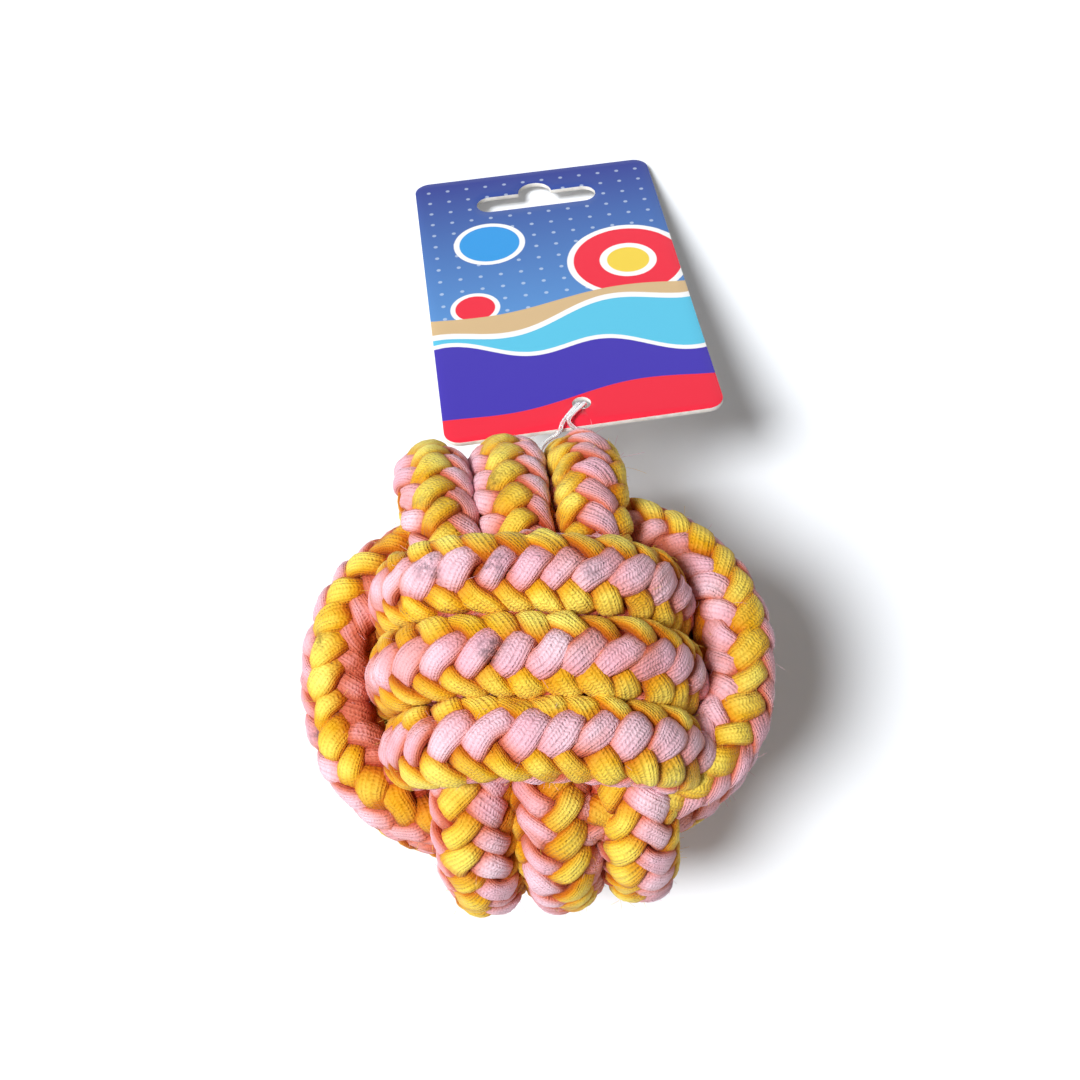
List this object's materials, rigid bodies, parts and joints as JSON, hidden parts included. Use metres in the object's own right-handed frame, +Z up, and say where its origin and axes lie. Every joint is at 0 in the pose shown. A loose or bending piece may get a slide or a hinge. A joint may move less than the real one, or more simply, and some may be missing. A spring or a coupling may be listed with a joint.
{
  "type": "rope ball dog toy",
  "caption": "Monkey's-fist ball of thick braided rope for a dog to chew and fetch, with a card hang tag on a clear plastic loop.",
  "frame": {"origin": "on the floor under the middle of the ball, on the flat of the crosswise winding that the ball lies on", "axes": "+Z up, +Y from the ball's middle towards the hang tag, +X to the right when the tag points away"},
  "size_m": [0.096, 0.1977, 0.096],
  "materials": {
    "rope_pink_yellow": "soft jersey-yarn braid",
    "rope_yellow_pink": "soft jersey-yarn braid",
    "rope_mixed": "soft jersey-yarn braid",
    "core": "wound scrap yarn",
    "clear_plastic": "clear, glossy",
    "printed_card": "printed and laminated card"
  },
  "bodies": {
    "ball": {"lengthwise_wraps": "rope_pink_yellow", "crosswise_wraps": "rope_yellow_pink", "girdle_wraps": "rope_mixed", "core_ball": "core"},
    "loop": {"tag_loop": "clear_plastic"},
    "tag": {"hang_tag": "printed_card"}
  },
  "joints": [
    {"name": "loop_swing", "type": "hinge", "parent": "ball", "child": "loop", "pos_m": [0.01149, 0.05027, 0.0473], "axis": [0.9983, 0.0003, -0.0585], "range_deg": [-30, 40]},
    {"name": "tag_tip", "type": "hinge", "parent": "loop", "child": "tag", "pos_m": [0.01424, 0.061, 0.0443], "axis": [0.9966, 0.0819, 0], "range_deg": [0, 10]}
  ]
}
